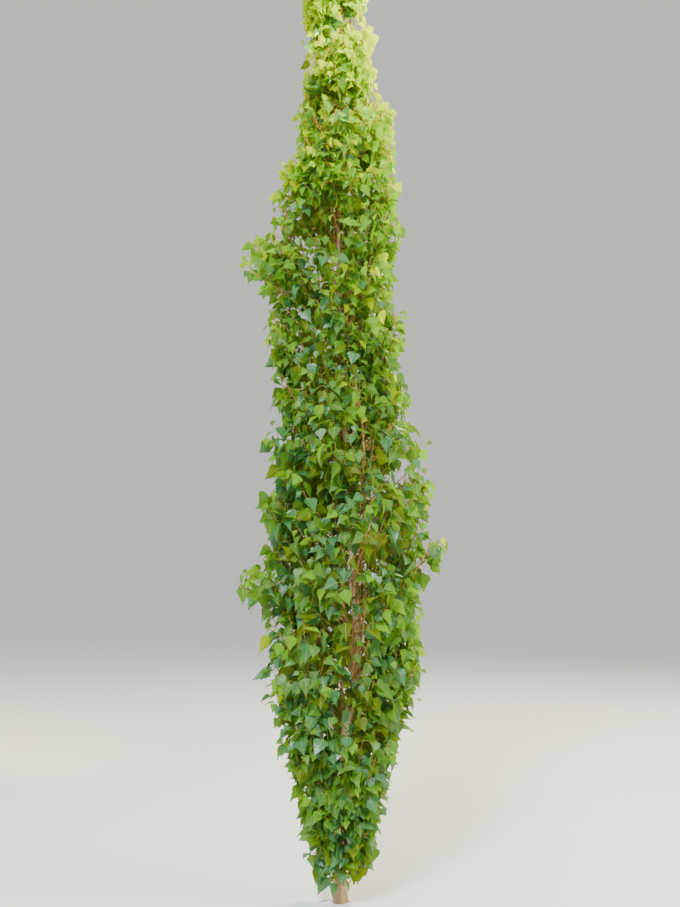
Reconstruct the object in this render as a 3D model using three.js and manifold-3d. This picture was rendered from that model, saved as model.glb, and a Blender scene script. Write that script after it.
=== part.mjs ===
// A young columnar birch in full leaf, rooted in the ground: one slender trunk that runs up through
// a spindle-shaped crown, steep boughs, and one mass of twigs and hanging leaves to each limb.
// Millimetres, +Z up. The origin is the centre of the trunk's flat cut at ground level, and -Y is
// the front. A turn is an angle about +Z, counted from +X.

import * as THREE from "three";
import { mergeVertices } from "three/addons/utils/BufferGeometryUtils.js";
import Module from "manifold-3d";

const wasm = await Module();
wasm.setup();

// The trunk, its crooks and its root flare
const TREE_HEIGHT = 3600;
const TRUNK_HEIGHT = 3580;
const TRUNK_RADIUS = 17.5;
const TRUNK_TAPER = 0.8;
const TRUNK_TIP_RADIUS = 1.8;
const TRUNK_SIDES = 10;
const TRUNK_STEPS = 24;
const TRUNK_STEP_GROWTH = 1.2;
const TRUNK_LEAN = { x: -8, y: 14 };
const CROOKS = [
  { height: 830, spread: 270, x: 56, y: 10 },
  { height: 1350, spread: 450, x: 30, y: -16 },
];
const FLARE = { radius: 10, height: 42, ridges: 5, depth: 0.3 };

// The crown's outline as [height, radius, centre's x], and the sprays that stand out of it
const CROWN_OUTLINE = [
  [0, 76, 5],
  [170, 156, 15],
  [330, 196, 18],
  [500, 244, 24],
  [800, 286, 14],
  [1000, 318, -8],
  [1120, 346, 12],
  [1450, 268, 4],
  [1800, 244, -14],
  [2240, 250, -14],
  [2600, 190, 14],
  [2950, 128, -6],
  [3200, 118, -10],
  [3430, 96, -10],
  [TREE_HEIGHT, 52, -8],
];
const STRAYS = [
  { height: 2190, turn: Math.PI, reach: 130, tall: 140, wide: 0.5 },
  { height: 2520, turn: Math.PI, reach: 40, tall: 60, wide: 0.5 },
  { height: 1560, turn: 0, reach: 50, tall: 50, wide: 0.4 },
  { height: 1380, turn: 0, reach: 60, tall: 60, wide: 0.4 },
  { height: 1170, turn: 0, reach: 25, tall: 50, wide: 0.4 },
  { height: 1070, turn: Math.PI, reach: 30, tall: 70, wide: 0.4 },
];

// The limbs: each is a bough and the stem of a mass, or a stem alone next to the ground and the tip.
// A range is drawn from by chance, and a limb's rise and reach are shares of the crown's radius.
const LIMBS = 26;
const LOWEST_LIMB = 62;
const HIGHEST_LIMB = 3250;
const BOUGHS = { from: 2, to: 21 };
const LIMB_CROWDING = 1.1;
const FIRST_TURN = 5.06;
const GOLDEN_TURN = Math.PI * (3 - Math.sqrt(5));
const TURN_ERROR = { least: -0.2, most: 0.2 };
const LIMB_RISE = { least: 1.72, most: 2.18 };
const LEAST_RISE = 290;
const TIP_ROOM = 45;
const RISE_MEASURED_ABOVE = 250;
const LIMB_REACH = { least: 0.43, most: 0.61 };
const REACH_MEASURED_AT = 0.6;
const LIMB_BEND = 2.2;
const LIMB_TWIST = { least: -0.15, most: 0.15 };
const LIMB_STRAIGHTENING = 0.8;
const LIMB_RADIUS = 0.42;
const LIMB_TAPER = 0.7;
const TWIG_RADIUS = 2.6;
const BOUGH_SHARE = 0.25;
const LIMB_STEPS = 10;
const BOUGH_SIDES = 6;
const BOUGH_STEPS = 3;
const STEM_SIDES = 3;
const STEM_STEPS = 4;
const WOOD_GAP = 0.3;

// The twigs and leaves of a mass. A leaf is larger than life, because there are fewer of them.
// A twig's turn is counted from the way out of the crown, and its reach is a share of that way.
const TWIGS = 5;
const TWIG_SIDES = 3;
const FIRST_TWIG = 0.7;
const TWIG_REACH = { least: 0.55, most: 0.95 };
const TWIG_CUTS = [1, 0.8, 0.62, 0.46];
const TWIG_PROBES = [0.25, 0.5, 0.75, 1];
const TWIG_TIP_RADIUS = 2;
const TWIG_RISE = { least: 0.35, most: 0.85 };
const TWIG_TURN = { least: 0.1, most: 1.3 };
const TWIG_LEAVES = [0.97, 0.76, 0.57, 0.4, 0.22];
const STEM_LEAVES = 12;
const FIRST_STEM_LEAF = 0.97;
const LEAF_TRIES = 18;
const LEAF = { length: 132, width: 110, widest: 0.33, thick: 3, root: 0.6 };
const LEAF_SIZES = { least: 0.8, most: 1.1 };
const LEAF_DROOP = { least: 0.55, most: 1.25 };
const LEAF_ROLL = 0.5;
const LEAF_SIDE = 0.8;
const LEAF_SWING = 0.6;
const LEAF_FOOT = 26;

// Clearances that keep each mass in its own space
const MASS_GAP = 6;
const WOOD_CLEAR = 7;
const SAMPLE_ROWS = 7;
const SAMPLE_COLUMNS = 5;

const UP = new THREE.Vector3(0, 0, 1);

// A number from 0 to 1 that depends only on the limb, the twig and what it is used for
function chance(limb, twig, use) {
  const wave = Math.sin(limb * 12.9898 + twig * 78.233 + use * 37.719) * 43758.5453;
  return wave - Math.floor(wave);
}

function between(range, share) {
  return range.least + (range.most - range.least) * share;
}

function direction(turn, rise) {
  const flat = Math.cos(rise);
  return new THREE.Vector3(Math.cos(turn) * flat, Math.sin(turn) * flat, Math.sin(rise));
}

function bump(distance, spread) {
  return Math.exp(-((distance / spread) ** 2));
}

// The trunk's centre at a height
function trunkCentre(z) {
  const share = z / TREE_HEIGHT;
  const centre = new THREE.Vector3(TRUNK_LEAN.x * share, TRUNK_LEAN.y * share, z);
  for (const crook of CROOKS) {
    const size = bump(z - crook.height, crook.spread);
    centre.x += crook.x * size;
    centre.y += crook.y * size;
  }
  return centre;
}

function trunkRadius(z) {
  const share = Math.max(0, 1 - z / TREE_HEIGHT);
  return Math.max(TRUNK_TIP_RADIUS, TRUNK_RADIUS * share ** TRUNK_TAPER);
}

// How far the root flare stands out of the trunk, in ridges that run up it
function flareAt(z, angle) {
  return FLARE.radius * Math.exp(-z / FLARE.height) * (1 + FLARE.depth * Math.cos(FLARE.ridges * angle));
}

// One column of the crown's outline at a height, smooth between its points
function outlineAt(z, column) {
  const last = CROWN_OUTLINE.length - 1;
  let k = 0;
  while (k < last - 1 && z > CROWN_OUTLINE[k + 1][0]) k += 1;
  const low = CROWN_OUTLINE[k];
  const high = CROWN_OUTLINE[k + 1];
  return THREE.MathUtils.lerp(low[column], high[column], THREE.MathUtils.smoothstep(z, low[0], high[0]));
}

function crownRadius(z, turn) {
  let radius = outlineAt(z, 1);
  for (const stray of STRAYS) {
    const away = Math.atan2(Math.sin(turn - stray.turn), Math.cos(turn - stray.turn));
    radius += stray.reach * bump(z - stray.height, stray.tall) * bump(away, stray.wide);
  }
  return radius;
}

// A point's way out from the crown's own axis: its distance and its turn
function fromAxis(point) {
  const x = point.x - outlineAt(point.z, 2);
  return { out: Math.hypot(x, point.y), turn: Math.atan2(point.y, x) };
}

// A closed cylinder bent along a centreline, its radius a function of the share of the way along
// and of the angle round it. centreAt(share) and alongAt(share) give its place and its direction.
function bentCylinder(sides, steps, centreAt, alongAt, radiusAt) {
  const geometry = new THREE.CylinderGeometry(1, 1, 1, sides, steps);
  const place = geometry.getAttribute("position");
  for (let v = 0; v < place.count; v += 1) {
    const share = place.getY(v) + 0.5;
    const angle = Math.atan2(place.getZ(v), place.getX(v));
    const out = Math.hypot(place.getX(v), place.getZ(v)) > 0.5 ? radiusAt(share, angle) : 0;
    const along = alongAt(share);
    const across = new THREE.Vector3(0, 1, 0).cross(along).normalize();
    const deep = new THREE.Vector3().crossVectors(along, across);
    const point = centreAt(share)
      .addScaledVector(across, Math.cos(angle) * out)
      .addScaledVector(deep, -Math.sin(angle) * out);
    place.setXYZ(v, point.x, point.y, point.z);
  }
  return geometry;
}

// A geometry as a solid, for joining and cutting
function solidOf(geometry) {
  geometry.deleteAttribute("normal");
  geometry.deleteAttribute("uv");
  const merged = mergeVertices(geometry, 1e-4);
  return new wasm.Manifold(
    new wasm.Mesh({
      numProp: 3,
      vertProperties: merged.getAttribute("position").array,
      triVerts: new Uint32Array(merged.index.array),
    }),
  );
}

function geometryOf(solid) {
  const mesh = solid.getMesh();
  const geometry = new THREE.BufferGeometry();
  geometry.setAttribute("position", new THREE.BufferAttribute(mesh.vertProperties, 3));
  geometry.setIndex(new THREE.BufferAttribute(mesh.triVerts, 1));
  geometry.computeVertexNormals();
  return geometry;
}

// The trunk, swollen by a gap where it is used to cut the limbs clear of it
function trunkSolid(gap) {
  const heightAt = (share) => TRUNK_HEIGHT * share ** TRUNK_STEP_GROWTH;
  const geometry = bentCylinder(
    TRUNK_SIDES,
    TRUNK_STEPS,
    (share) => trunkCentre(heightAt(share)),
    () => UP.clone(),
    (share, angle) => trunkRadius(heightAt(share)) + flareAt(heightAt(share), angle) + gap,
  );
  return solidOf(geometry);
}

// A limb's centreline: it leaves the trunk's axis slanting out, and bends up to run beside it
class Limb {
  constructor(number) {
    this.number = number;
    this.hasBough = number >= BOUGHS.from && number <= BOUGHS.to;
    this.foot = LOWEST_LIMB + (HIGHEST_LIMB - LOWEST_LIMB) * (number / (LIMBS - 1)) ** LIMB_CROWDING;
    this.turn = FIRST_TURN + number * GOLDEN_TURN + between(TURN_ERROR, chance(number, 0, 1));
    this.twist = between(LIMB_TWIST, chance(number, 0, 4));
    const rise = between(LIMB_RISE, chance(number, 0, 2));
    const full = rise * crownRadius(this.foot + RISE_MEASURED_ABOVE, this.turn);
    this.rise = Math.min(Math.max(LEAST_RISE, full), TREE_HEIGHT - TIP_ROOM - this.foot);
    const reach = between(LIMB_REACH, chance(number, 0, 3));
    this.reach = reach * crownRadius(this.foot + this.rise * REACH_MEASURED_AT, this.turn);
    this.radius = Math.max(TWIG_RADIUS + 0.6, LIMB_RADIUS * trunkRadius(this.foot));
    this.start = this.hasBough ? BOUGH_SHARE : 0;
    this.line = [];
    for (let k = 0; k <= LIMB_STEPS; k += 1) this.line.push(this.at(k / LIMB_STEPS));
    this.reachBox = new THREE.Box3().setFromPoints(this.line);
  }

  at(share) {
    const z = this.foot + this.rise * share;
    const out = this.reach * (1 - Math.max(0, 1 - share) ** LIMB_BEND);
    const turn = this.turn + this.twist * share;
    const centre = trunkCentre(z);
    centre.x += (outlineAt(z, 2) - centre.x) * share * LIMB_STRAIGHTENING;
    centre.y -= centre.y * share * LIMB_STRAIGHTENING;
    centre.x += Math.cos(turn) * out;
    centre.y += Math.sin(turn) * out;
    return centre;
  }

  along(share) {
    const step = 0.01;
    return this.at(share + step).sub(this.at(share - step)).normalize();
  }

  radiusAt(share) {
    return TWIG_RADIUS + (this.radius - TWIG_RADIUS) * Math.max(0, 1 - share) ** LIMB_TAPER;
  }

  distance(point) {
    let nearest = Infinity;
    for (let k = 0; k < LIMB_STEPS; k += 1) {
      nearest = Math.min(nearest, distanceToSegment(point, this.line[k], this.line[k + 1]));
    }
    return nearest;
  }

  // One length of the limb as a tapering solid, from one share of its way to another
  piece(from, to, sides, steps, gap) {
    const shareAt = (s) => from + (to - from) * s;
    const geometry = bentCylinder(
      sides,
      steps,
      (s) => this.at(shareAt(s)).addScaledVector(this.along(shareAt(s)), s === 0 ? gap : 0),
      (s) => this.along(shareAt(s)),
      (s) => this.radiusAt(shareAt(s)),
    );
    return solidOf(geometry);
  }
}

function distanceToSegment(point, from, to) {
  const run = to.clone().sub(from);
  const share = THREE.MathUtils.clamp(point.clone().sub(from).dot(run) / run.lengthSq(), 0, 1);
  return point.distanceTo(from.clone().addScaledVector(run, share));
}

const limbs = Array.from({ length: LIMBS }, (_, number) => new Limb(number));

// Whether a point of a limb's leaf or twig lies inside the crown, clear of the trunk and boughs,
// and nearer to its own limb than to any other
function hasRoom(point, own) {
  if (point.z < LEAF_FOOT || point.z > TREE_HEIGHT) return false;
  const { out, turn } = fromAxis(point);
  if (out > crownRadius(point.z, turn)) return false;
  const trunk = trunkCentre(point.z);
  const toTrunk = Math.hypot(point.x - trunk.x, point.y - trunk.y);
  const wood = point.z < TRUNK_HEIGHT + WOOD_CLEAR ? trunkRadius(point.z) + flareAt(point.z, 0) : 0;
  if (toTrunk < wood + WOOD_CLEAR) return false;
  const mine = own.distance(point);
  return limbs.every((limb) => {
    if (limb.reachBox.distanceToPoint(point) > mine + MASS_GAP) return true;
    return limb === own ? clearOfBough(point, limb) : limb.distance(point) > mine + MASS_GAP;
  });
}

function clearOfBough(point, limb) {
  if (!limb.hasBough) return true;
  const end = limb.at(limb.start);
  if (point.z > end.z + WOOD_CLEAR) return true;
  return limb.distance(point) > limb.radius + WOOD_CLEAR;
}

// A leaf that hangs from a root point: it points along a turn and droops below the level
class Leaf {
  constructor(root, turn, droop, roll, size) {
    this.root = root;
    this.length = LEAF.length * size;
    this.half = (LEAF.width * size) / 2;
    this.ahead = direction(turn, -droop);
    this.face = direction(turn, Math.PI / 2 - droop).applyAxisAngle(this.ahead, roll);
    this.side = new THREE.Vector3().crossVectors(this.ahead, this.face);
  }

  point(along, across, lift) {
    return this.root
      .clone()
      .addScaledVector(this.ahead, along)
      .addScaledVector(this.side, across)
      .addScaledVector(this.face, lift);
  }

  samples() {
    const found = [];
    for (let row = 1; row <= SAMPLE_ROWS; row += 1) {
      const share = row / SAMPLE_ROWS;
      const widest = share < LEAF.widest ? share / LEAF.widest : (1 - share) / (1 - LEAF.widest);
      for (let column = 0; column < SAMPLE_COLUMNS; column += 1) {
        const across = ((2 * column) / (SAMPLE_COLUMNS - 1) - 1) * this.half * widest;
        found.push(this.point(this.length * share, across, 0));
      }
    }
    return found;
  }

  // Four faces: the root and the tip end the midrib, which stands over the line between the wings
  solid() {
    const geometry = new THREE.TetrahedronGeometry(1);
    const place = geometry.getAttribute("position");
    for (let v = 0; v < place.count; v += 1) {
      const side = Math.sign(place.getX(v));
      const isWing = place.getZ(v) < 0;
      let along = LEAF.widest * this.length;
      if (!isWing) along = side > 0 ? this.length : -LEAF.root;
      const point = this.point(along, isWing ? side * this.half : 0, isWing ? -LEAF.thick : 0);
      place.setXYZ(v, point.x, point.y, point.z);
    }
    return solidOf(geometry);
  }
}

// How far a level line that starts inside the crown runs before it leaves it
function runToOutline(from, turn) {
  const foot = fromAxis(from);
  const outward = foot.out * Math.cos(turn - foot.turn);
  const inside = outward ** 2 + crownRadius(from.z, turn) ** 2 - foot.out ** 2;
  return Math.max(0, Math.sqrt(Math.max(0, inside)) - outward);
}

// A straight twig leaves its stem slanting out and up, and is cut shorter where it has no room
function twigOf(limb, number) {
  const share = limb.start + ((1 - limb.start) * (number + FIRST_TWIG)) / (TWIGS + FIRST_TWIG);
  const root = limb.at(share);
  const side = number % 2 ? 1 : -1;
  const turn = fromAxis(root).turn + side * between(TWIG_TURN, chance(limb.number, number, 5));
  const rise = between(TWIG_RISE, chance(limb.number, number, 6));
  const run = runToOutline(root, turn) * between(TWIG_REACH, chance(limb.number, number, 7));
  const ahead = direction(turn, rise);
  for (const cut of TWIG_CUTS) {
    const length = (run * cut) / Math.cos(rise);
    const at = (s) => root.clone().addScaledVector(ahead, length * s);
    const twig = { turn, at, along: () => ahead, foot: limb.radiusAt(share) };
    if (TWIG_PROBES.every((s) => hasRoom(at(s), limb))) return twig;
  }
  return null;
}

function twigSolid(twig) {
  const radiusAt = (s) => twig.foot + (TWIG_TIP_RADIUS - twig.foot) * s;
  return solidOf(bentCylinder(TWIG_SIDES, 1, twig.at, twig.along, radiusAt));
}

// The points of a mass's wood where its leaves hang, each with the turn that its leaf leans to
function leafRoots(limb, twigs) {
  const roots = [];
  for (const twig of twigs) {
    TWIG_LEAVES.forEach((share, k) => {
      const side = k === 0 ? 0 : LEAF_SIDE * (k % 2 ? 1 : -1);
      roots.push({ at: twig.at(share), turn: twig.turn + side });
    });
  }
  for (let n = 0; n < STEM_LEAVES; n += 1) {
    const at = limb.at(limb.start + ((1 - limb.start) * (n + FIRST_STEM_LEAF)) / STEM_LEAVES);
    roots.push({ at, turn: fromAxis(at).turn + n * GOLDEN_TURN });
  }
  return roots;
}

// A leaf's blade that has room, joins its wood once and crosses no other leaf, if a try finds one
function bladeAt(limb, root, key, wood, blades) {
  for (let attempt = 0; attempt < LEAF_TRIES; attempt += 1) {
    const draw = (n) => chance(limb.number, key, 100 + 10 * attempt + n);
    const leaf = new Leaf(
      root.at,
      root.turn + (draw(0) - 0.5) * 2 * LEAF_SWING,
      between(LEAF_DROOP, draw(1)),
      (draw(2) - 0.5) * 2 * LEAF_ROLL,
      between(LEAF_SIZES, draw(3)),
    );
    if (!leaf.samples().every((point) => hasRoom(point, limb))) continue;
    const blade = leaf.solid();
    if (wood.intersect(blade).decompose().length !== 1) continue;
    if (blades.every((other) => other.intersect(blade).isEmpty())) return blade;
  }
  return null;
}

// One mass: the stem that runs on from the bough, its twigs, and the leaves on both
function foliageSolid(limb) {
  const stem = limb.piece(limb.start, 1, STEM_SIDES, STEM_STEPS, limb.hasBough ? WOOD_GAP : 0);
  const twigs = [];
  for (let number = 0; number < TWIGS; number += 1) {
    const twig = twigOf(limb, number);
    if (twig) twigs.push(twig);
  }
  const wood = wasm.Manifold.union([stem, ...twigs.map(twigSolid)]);
  const blades = [];
  leafRoots(limb, twigs).forEach((root, key) => {
    const blade = bladeAt(limb, root, key, wood, blades);
    if (blade) blades.push(blade);
  });
  return wasm.Manifold.union([wood, ...blades]);
}

const bark = new THREE.MeshStandardMaterial({ color: 0xb08d6e, roughness: 0.8, metalness: 0 });
const boughBark = new THREE.MeshStandardMaterial({ color: 0x8a5a3c, roughness: 0.75, metalness: 0 });
const leafGreen = new THREE.MeshStandardMaterial({ color: 0x5d8a2a, roughness: 0.55, metalness: 0 });

const birch = new THREE.Group();

function addMesh(name, solid, material) {
  const mesh = new THREE.Mesh(geometryOf(solid), material);
  mesh.name = name;
  birch.add(mesh);
}

// What is left of a limb clear of the trunk, without any chip from the trunk's far side
function clearOfTrunk(solid) {
  const pieces = solid.subtract(trunkCutter).decompose();
  return pieces.reduce((most, piece) => (piece.volume() > most.volume() ? piece : most));
}

const trunkCutter = trunkSolid(WOOD_GAP);
addMesh("trunk", trunkSolid(0), bark);
for (const limb of limbs) {
  const label = String(limb.number + 1).padStart(2, "0");
  if (limb.hasBough) {
    const bough = limb.piece(0, limb.start, BOUGH_SIDES, BOUGH_STEPS, 0);
    addMesh(`bough_${label}`, clearOfTrunk(bough), boughBark);
  }
  addMesh(`foliage_${label}`, clearOfTrunk(foliageSolid(limb)), leafGreen);
}

export default birch;
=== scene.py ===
# A young columnar birch in full leaf: bark, boughs, twigs, leaf stalks and leaves. They grow by the
# rule of the solids that they replace, carried on to finer twigs and leaves of real size.
# Metres, +Z up, and -Y is the front. A turn is an angle about +Z, counted from +X.

import math

import bpy
import numpy as np
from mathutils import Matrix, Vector, noise


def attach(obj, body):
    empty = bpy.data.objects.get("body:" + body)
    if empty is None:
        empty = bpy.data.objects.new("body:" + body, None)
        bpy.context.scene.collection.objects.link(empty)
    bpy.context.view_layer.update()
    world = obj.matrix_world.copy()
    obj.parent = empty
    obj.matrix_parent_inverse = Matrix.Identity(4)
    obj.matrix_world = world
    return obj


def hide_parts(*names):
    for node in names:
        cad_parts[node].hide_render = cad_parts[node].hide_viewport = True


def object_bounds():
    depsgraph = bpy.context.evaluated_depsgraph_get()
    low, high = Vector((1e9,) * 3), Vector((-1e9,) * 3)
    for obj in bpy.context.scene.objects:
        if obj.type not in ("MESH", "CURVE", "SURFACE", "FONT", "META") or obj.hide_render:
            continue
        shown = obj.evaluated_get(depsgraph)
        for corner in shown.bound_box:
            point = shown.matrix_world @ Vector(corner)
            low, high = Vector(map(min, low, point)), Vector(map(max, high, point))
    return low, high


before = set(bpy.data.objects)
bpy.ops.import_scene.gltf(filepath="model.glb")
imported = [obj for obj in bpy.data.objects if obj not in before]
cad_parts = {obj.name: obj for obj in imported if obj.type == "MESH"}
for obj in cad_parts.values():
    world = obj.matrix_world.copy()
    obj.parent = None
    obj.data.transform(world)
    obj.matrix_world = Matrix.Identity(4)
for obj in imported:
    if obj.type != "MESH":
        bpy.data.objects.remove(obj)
solids_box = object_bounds()

# Turns as the photograph shows them
LEFT = math.pi
RIGHT = 0.0
FRONT = -math.pi / 2


def table(keys, *rows):
    """Rows of values by these keys. A row may leave out the last ones."""
    return [dict(zip(keys.split(), row)) for row in rows]


# A place on the crown, what it adds there, how far that fades up and down and round the crown, and
# how many sprays grow out there
PLACE = "height turn reach tall wide sprays"

# The trunk, its crooks and its root flare, as in the solids
TREE_HEIGHT = 3.6
TRUNK_HEIGHT = 3.58
TRUNK_RADIUS = 0.0175
TRUNK_TAPER = 0.8
TRUNK_TIP_RADIUS = 0.0018
TRUNK_LEAN = (-0.008, 0.014)
CROOKS = table(
    "height spread shift", (0.83, 0.27, (0.056, 0.010)), (1.35, 0.45, (0.030, -0.016)),
)
FLARE = {"radius": 0.010, "height": 0.042, "ridges": 5, "depth": 0.3}

# The crown's outline as (height, radius, centre's x), and the sprays that stand out of it
CROWN_OUTLINE = np.array([
    (0.00, 0.076, 0.005),
    (0.17, 0.156, 0.015),
    (0.33, 0.196, 0.018),
    (0.50, 0.244, 0.024),
    (0.80, 0.286, 0.014),
    (1.00, 0.318, -0.008),
    (1.12, 0.346, 0.012),
    (1.45, 0.268, 0.004),
    (1.80, 0.244, -0.014),
    (2.24, 0.250, -0.014),
    (2.60, 0.190, 0.014),
    (2.95, 0.128, -0.006),
    (3.20, 0.118, -0.010),
    (3.43, 0.096, -0.010),
    (TREE_HEIGHT, 0.052, -0.008),
])
STRAYS = table(
    PLACE,
    (2.19, LEFT, 0.130, 0.14, 0.5, 10),
    (2.52, LEFT, 0.040, 0.06, 0.5, 7),
    (1.56, RIGHT, 0.050, 0.05, 0.4, 6),
    (1.38, RIGHT, 0.060, 0.06, 0.4, 8),
    (1.17, RIGHT, 0.025, 0.05, 0.4, 5),
    (1.07, LEFT, 0.030, 0.07, 0.4, 8),
)

# The limbs, as in the solids: a range is drawn from by chance
LIMBS = 26
LIMB_FEET = (0.062, 3.25)
BOUGHS = range(2, 22)
LIMB_CROWDING = 1.1
FIRST_TURN = 5.06
GOLDEN_TURN = math.pi * (3 - math.sqrt(5))
TURN_ERROR = (-0.2, 0.2)
LIMB_RISE = (1.72, 2.18)
LEAST_RISE = 0.29
TIP_ROOM = 0.045
RISE_MEASURED_ABOVE = 0.25
LIMB_REACH = (0.43, 0.61)
REACH_MEASURED_AT = 0.6
LIMB_BEND = 2.2
LIMB_TWIST = (-0.15, 0.15)
LIMB_STRAIGHTENING = 0.8
LIMB_RADIUS = 0.42
LIMB_TAPER = 0.7
TWIG_RADIUS = 0.0026
THINNEST_LIMB = TWIG_RADIUS + 0.0006
BOUGH_SHARE = 0.25
LIMB_STEPS = 10

# The sprays of a limb: the solids' twigs have whole numbers, and finer ones stand between them
TWIGS = 5
FIRST_TWIG = 0.7
SPRAYS_PER_TWIG = 4
MORE_SPRAYS = {
    0: 10, 1: 6, 2: 5, 14: 5, 15: 5, 16: 5, 17: 5, 18: 6,
    19: 7, 20: 8, 21: 10, 22: 12, 23: 13, 24: 13, 25: 16,
}
LOWEST_ON_BOUGH = -2.0
LOWEST_ON_STEM = -0.3
TWIG_REACH = (0.55, 0.95)
TWIG_CUTS = (1, 0.8, 0.62, 0.46, 0.3)
TWIG_RISE = (0.35, 0.85)
TWIG_TURN = (0.1, 1.3)
TWIG_STEPS = 7
TWIG_UPTURN = 0.55
STEEPEST = 1.3
TWIG_FOOT_RADIUS = 0.0022
TWIG_FOOT_SHARE = 0.8
TWIG_END_RADIUS = 0.0009
SPRAY_LEAFY_FROM = 0.14

# The side twigs of a spray: lengths are shares of the spray's, and radii of its thin end
SIDE_TWIG_PLACES = (0.3, 0.52, 0.72)
SIDE_TWIG_LENGTH = (0.3, 0.55)
SIDE_TWIG_SHORTENING = 1.2
SIDE_TWIG_RADII = (1.4, 0.8)
SIDE_TWIG_TURN = (0.5, 1.15)
SIDE_TWIG_LEAST = 0.04
SIDE_TWIG_STEPS = 3
SIDE_TWIG_LEAFY_FROM = 0.3

# By how much a twig keeps nearer to its own limb than to others: one of the solids', or a finer one
OWN_SPACE = 0.006
SHARED_SPACE = -0.16

# The share of the crown that a finer spray fills, and what its leaves add
RAGGED = (0.74, 1.07)
LEAF_FILL = 0.12

# Swellings all over the crown: how much each adds, and how often it comes up the tree and round it
SWELLINGS = table("size up round shift", (0.04, 37.0, 2, 1.3), (0.04, 23.0, -3, 0.4))

# Where the photograph shows the crown fuller or slimmer than its even outline, by place
FULLER = table(
    PLACE,
    (0.66, LEFT, 0.050, 0.20, 0.9),
    (1.52, LEFT, -0.030, 0.12, 0.8),
    (2.00, RIGHT, -0.020, 0.20, 0.8),
    (2.44, RIGHT, -0.025, 0.12, 0.8),
    (2.70, LEFT, -0.025, 0.20, 0.8),
    (0.92, RIGHT, -0.025, 0.12, 0.8),
    (1.15, RIGHT, -0.030, 0.08, 0.5),
    (0.07, RIGHT, -0.035, 0.10, 0.9),
)

# How far twigs and leaves may stand out of the solids' box on its four sides
BEYOND_SOLIDS = 0.018

# Shoots that leave the trunk itself between the limbs, closest together at its foot
SPROUTS = 150
SPROUT_HEIGHTS = (0.045, 3.2)
SPROUT_CROWDING = 1.3

# Sprays that grow out into the strays of the outline
STRAY_SPREAD = (-0.9, 0.9)
STRAY_HEIGHTS = (-0.3, 1.0)
STRAY_ROOTS = 40
STRAY_ROOT_BELOW = 0.15
STRAY_ROOT_OUT = 0.45
STRAY_RUN = (0.8, 1.0)

# Leaves: real size, each hanging from its stalk
LEAF_SPACING = 0.0258
SPUR_SPACING = 0.03
SPUR_FROM = 0.14
LEAF_LENGTH = (0.040, 0.076)
LEAF_SIZE_HEIGHTS = (0.0, 1.4, 2.0, 2.5, 2.9, TREE_HEIGHT)
LEAF_SIZES = (0.97, 0.90, 0.75, 0.73, 0.92, 0.90)
SMALL_LEAVES = 1.3
LEAF_WIDTH = 0.83
BLADE_WIDEST = 0.3
BLADE_MIDDLE = 0.4
YOUNG_SIZE = (0.62, 0.84)
YOUNG_LEAVES = 3
LEAF_DROOP = (0.0, 1.42)
LEAF_SWING = 1.2
LEAF_SIDE_TURN = 0.55
LEAF_ROLL = 1.25
LEAF_TRIES = 4
STALK_LENGTH = (0.014, 0.025)
STALK_RISE = 0.25
STALK_OUT = 0.55
STALK_DOWN = 0.35
STALK_BEND = (0.5, 0.3)
STALK_IN_RIB = 0.002
STALK_RADIUS = (0.0009, 0.0006)
STALK_RINGS = 3
STALK_SIDES = 3
LEAF_FOOT = 0.02
WOOD_CLEAR = 0.004

# Leaves on the trunk's own tip, above its last shoots
TIP_LEAVES = 36
TIP_LEAVES_BETWEEN = (3.22, 3.572)
TIP_LEAF_FILL = 1.2
TIP_YOUTH = 0.5

# Where the crown is open from the front, as (x range, z range, share of leaves kept, whether that
# takes only those before the trunk)
OPENINGS = [
    ((0.060, 0.32), (1.08, 1.56), 0.5, False),
    ((-0.34, -0.17), (2.03, 2.45), 0.6, False),
    ((-0.005, 0.03), (0.17, 0.32), 0.4, True),
    ((0.022, 0.092), (0.74, 1.20), 0.1, True),
    ((-0.02, 0.02), (2.0, 2.5), 0.75, True),
]

# The leaf's own form: a share of its length or width
LEAF_ROWS = 8
LEAF_COLUMNS = 3
FLAT_LEAVES = 1.2
FOLD_EASING = 0.3
WAVES = 9
LEAF_BASE_ROUNDING = 2.2
LEAF_TIP_SHARPNESS = 1.3
LEAF_TIP_LENGTH = 0.3
VEIN_SLANT = 0.12
LEAF_LAST_ROW = 0.93
TOOTH = 0.034
TOOTH_AHEAD = 0.35
NOTCH_BACK = 0.25
TOOTH_SHRINKING = 0.6
PLEAT = 0.014
MIDRIB = 0.022
MIDRIB_TAPER = 0.8
LEAF_FORMS = 16

# What each form draws of its own
LEAF_RANGES = {
    "fold": (0.0, 0.62),
    "curl": (0.0, 0.5),
    "wave": (0.0, 0.04),
    "phase": (0.0, 2 * math.pi),
    "skew": (-0.06, 0.06),
    "breadth": (0.88, 1.08),
    "widest": (0.27, 0.4),
}

# How the five tones of leaf share the crown at each height, from sunlit to deep. The sunlit tone gathers at
# the top as painted sunlight, where the light falls on the crown's top.
TONES = ("sunlit", "fresh", "mid", "cool", "deep")
TONE_SHARES = np.array([
    (0.0, 0.02, 0.12, 0.36, 0.26, 0.24),
    (0.6, 0.02, 0.13, 0.37, 0.27, 0.21),
    (1.6, 0.02, 0.15, 0.35, 0.27, 0.21),
    (2.2, 0.07, 0.31, 0.32, 0.17, 0.13),
    (2.5, 0.22, 0.36, 0.24, 0.10, 0.08),
    (2.8, 0.50, 0.24, 0.12, 0.08, 0.06),
    (3.2, 0.62, 0.18, 0.08, 0.07, 0.05),
    (3.6, 0.66, 0.14, 0.10, 0.06, 0.04),
])
HIGHEST_DRAW = 0.999
SPRAY_TONE_SHARE = 0.35
TONE_RUN = 4
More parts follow.
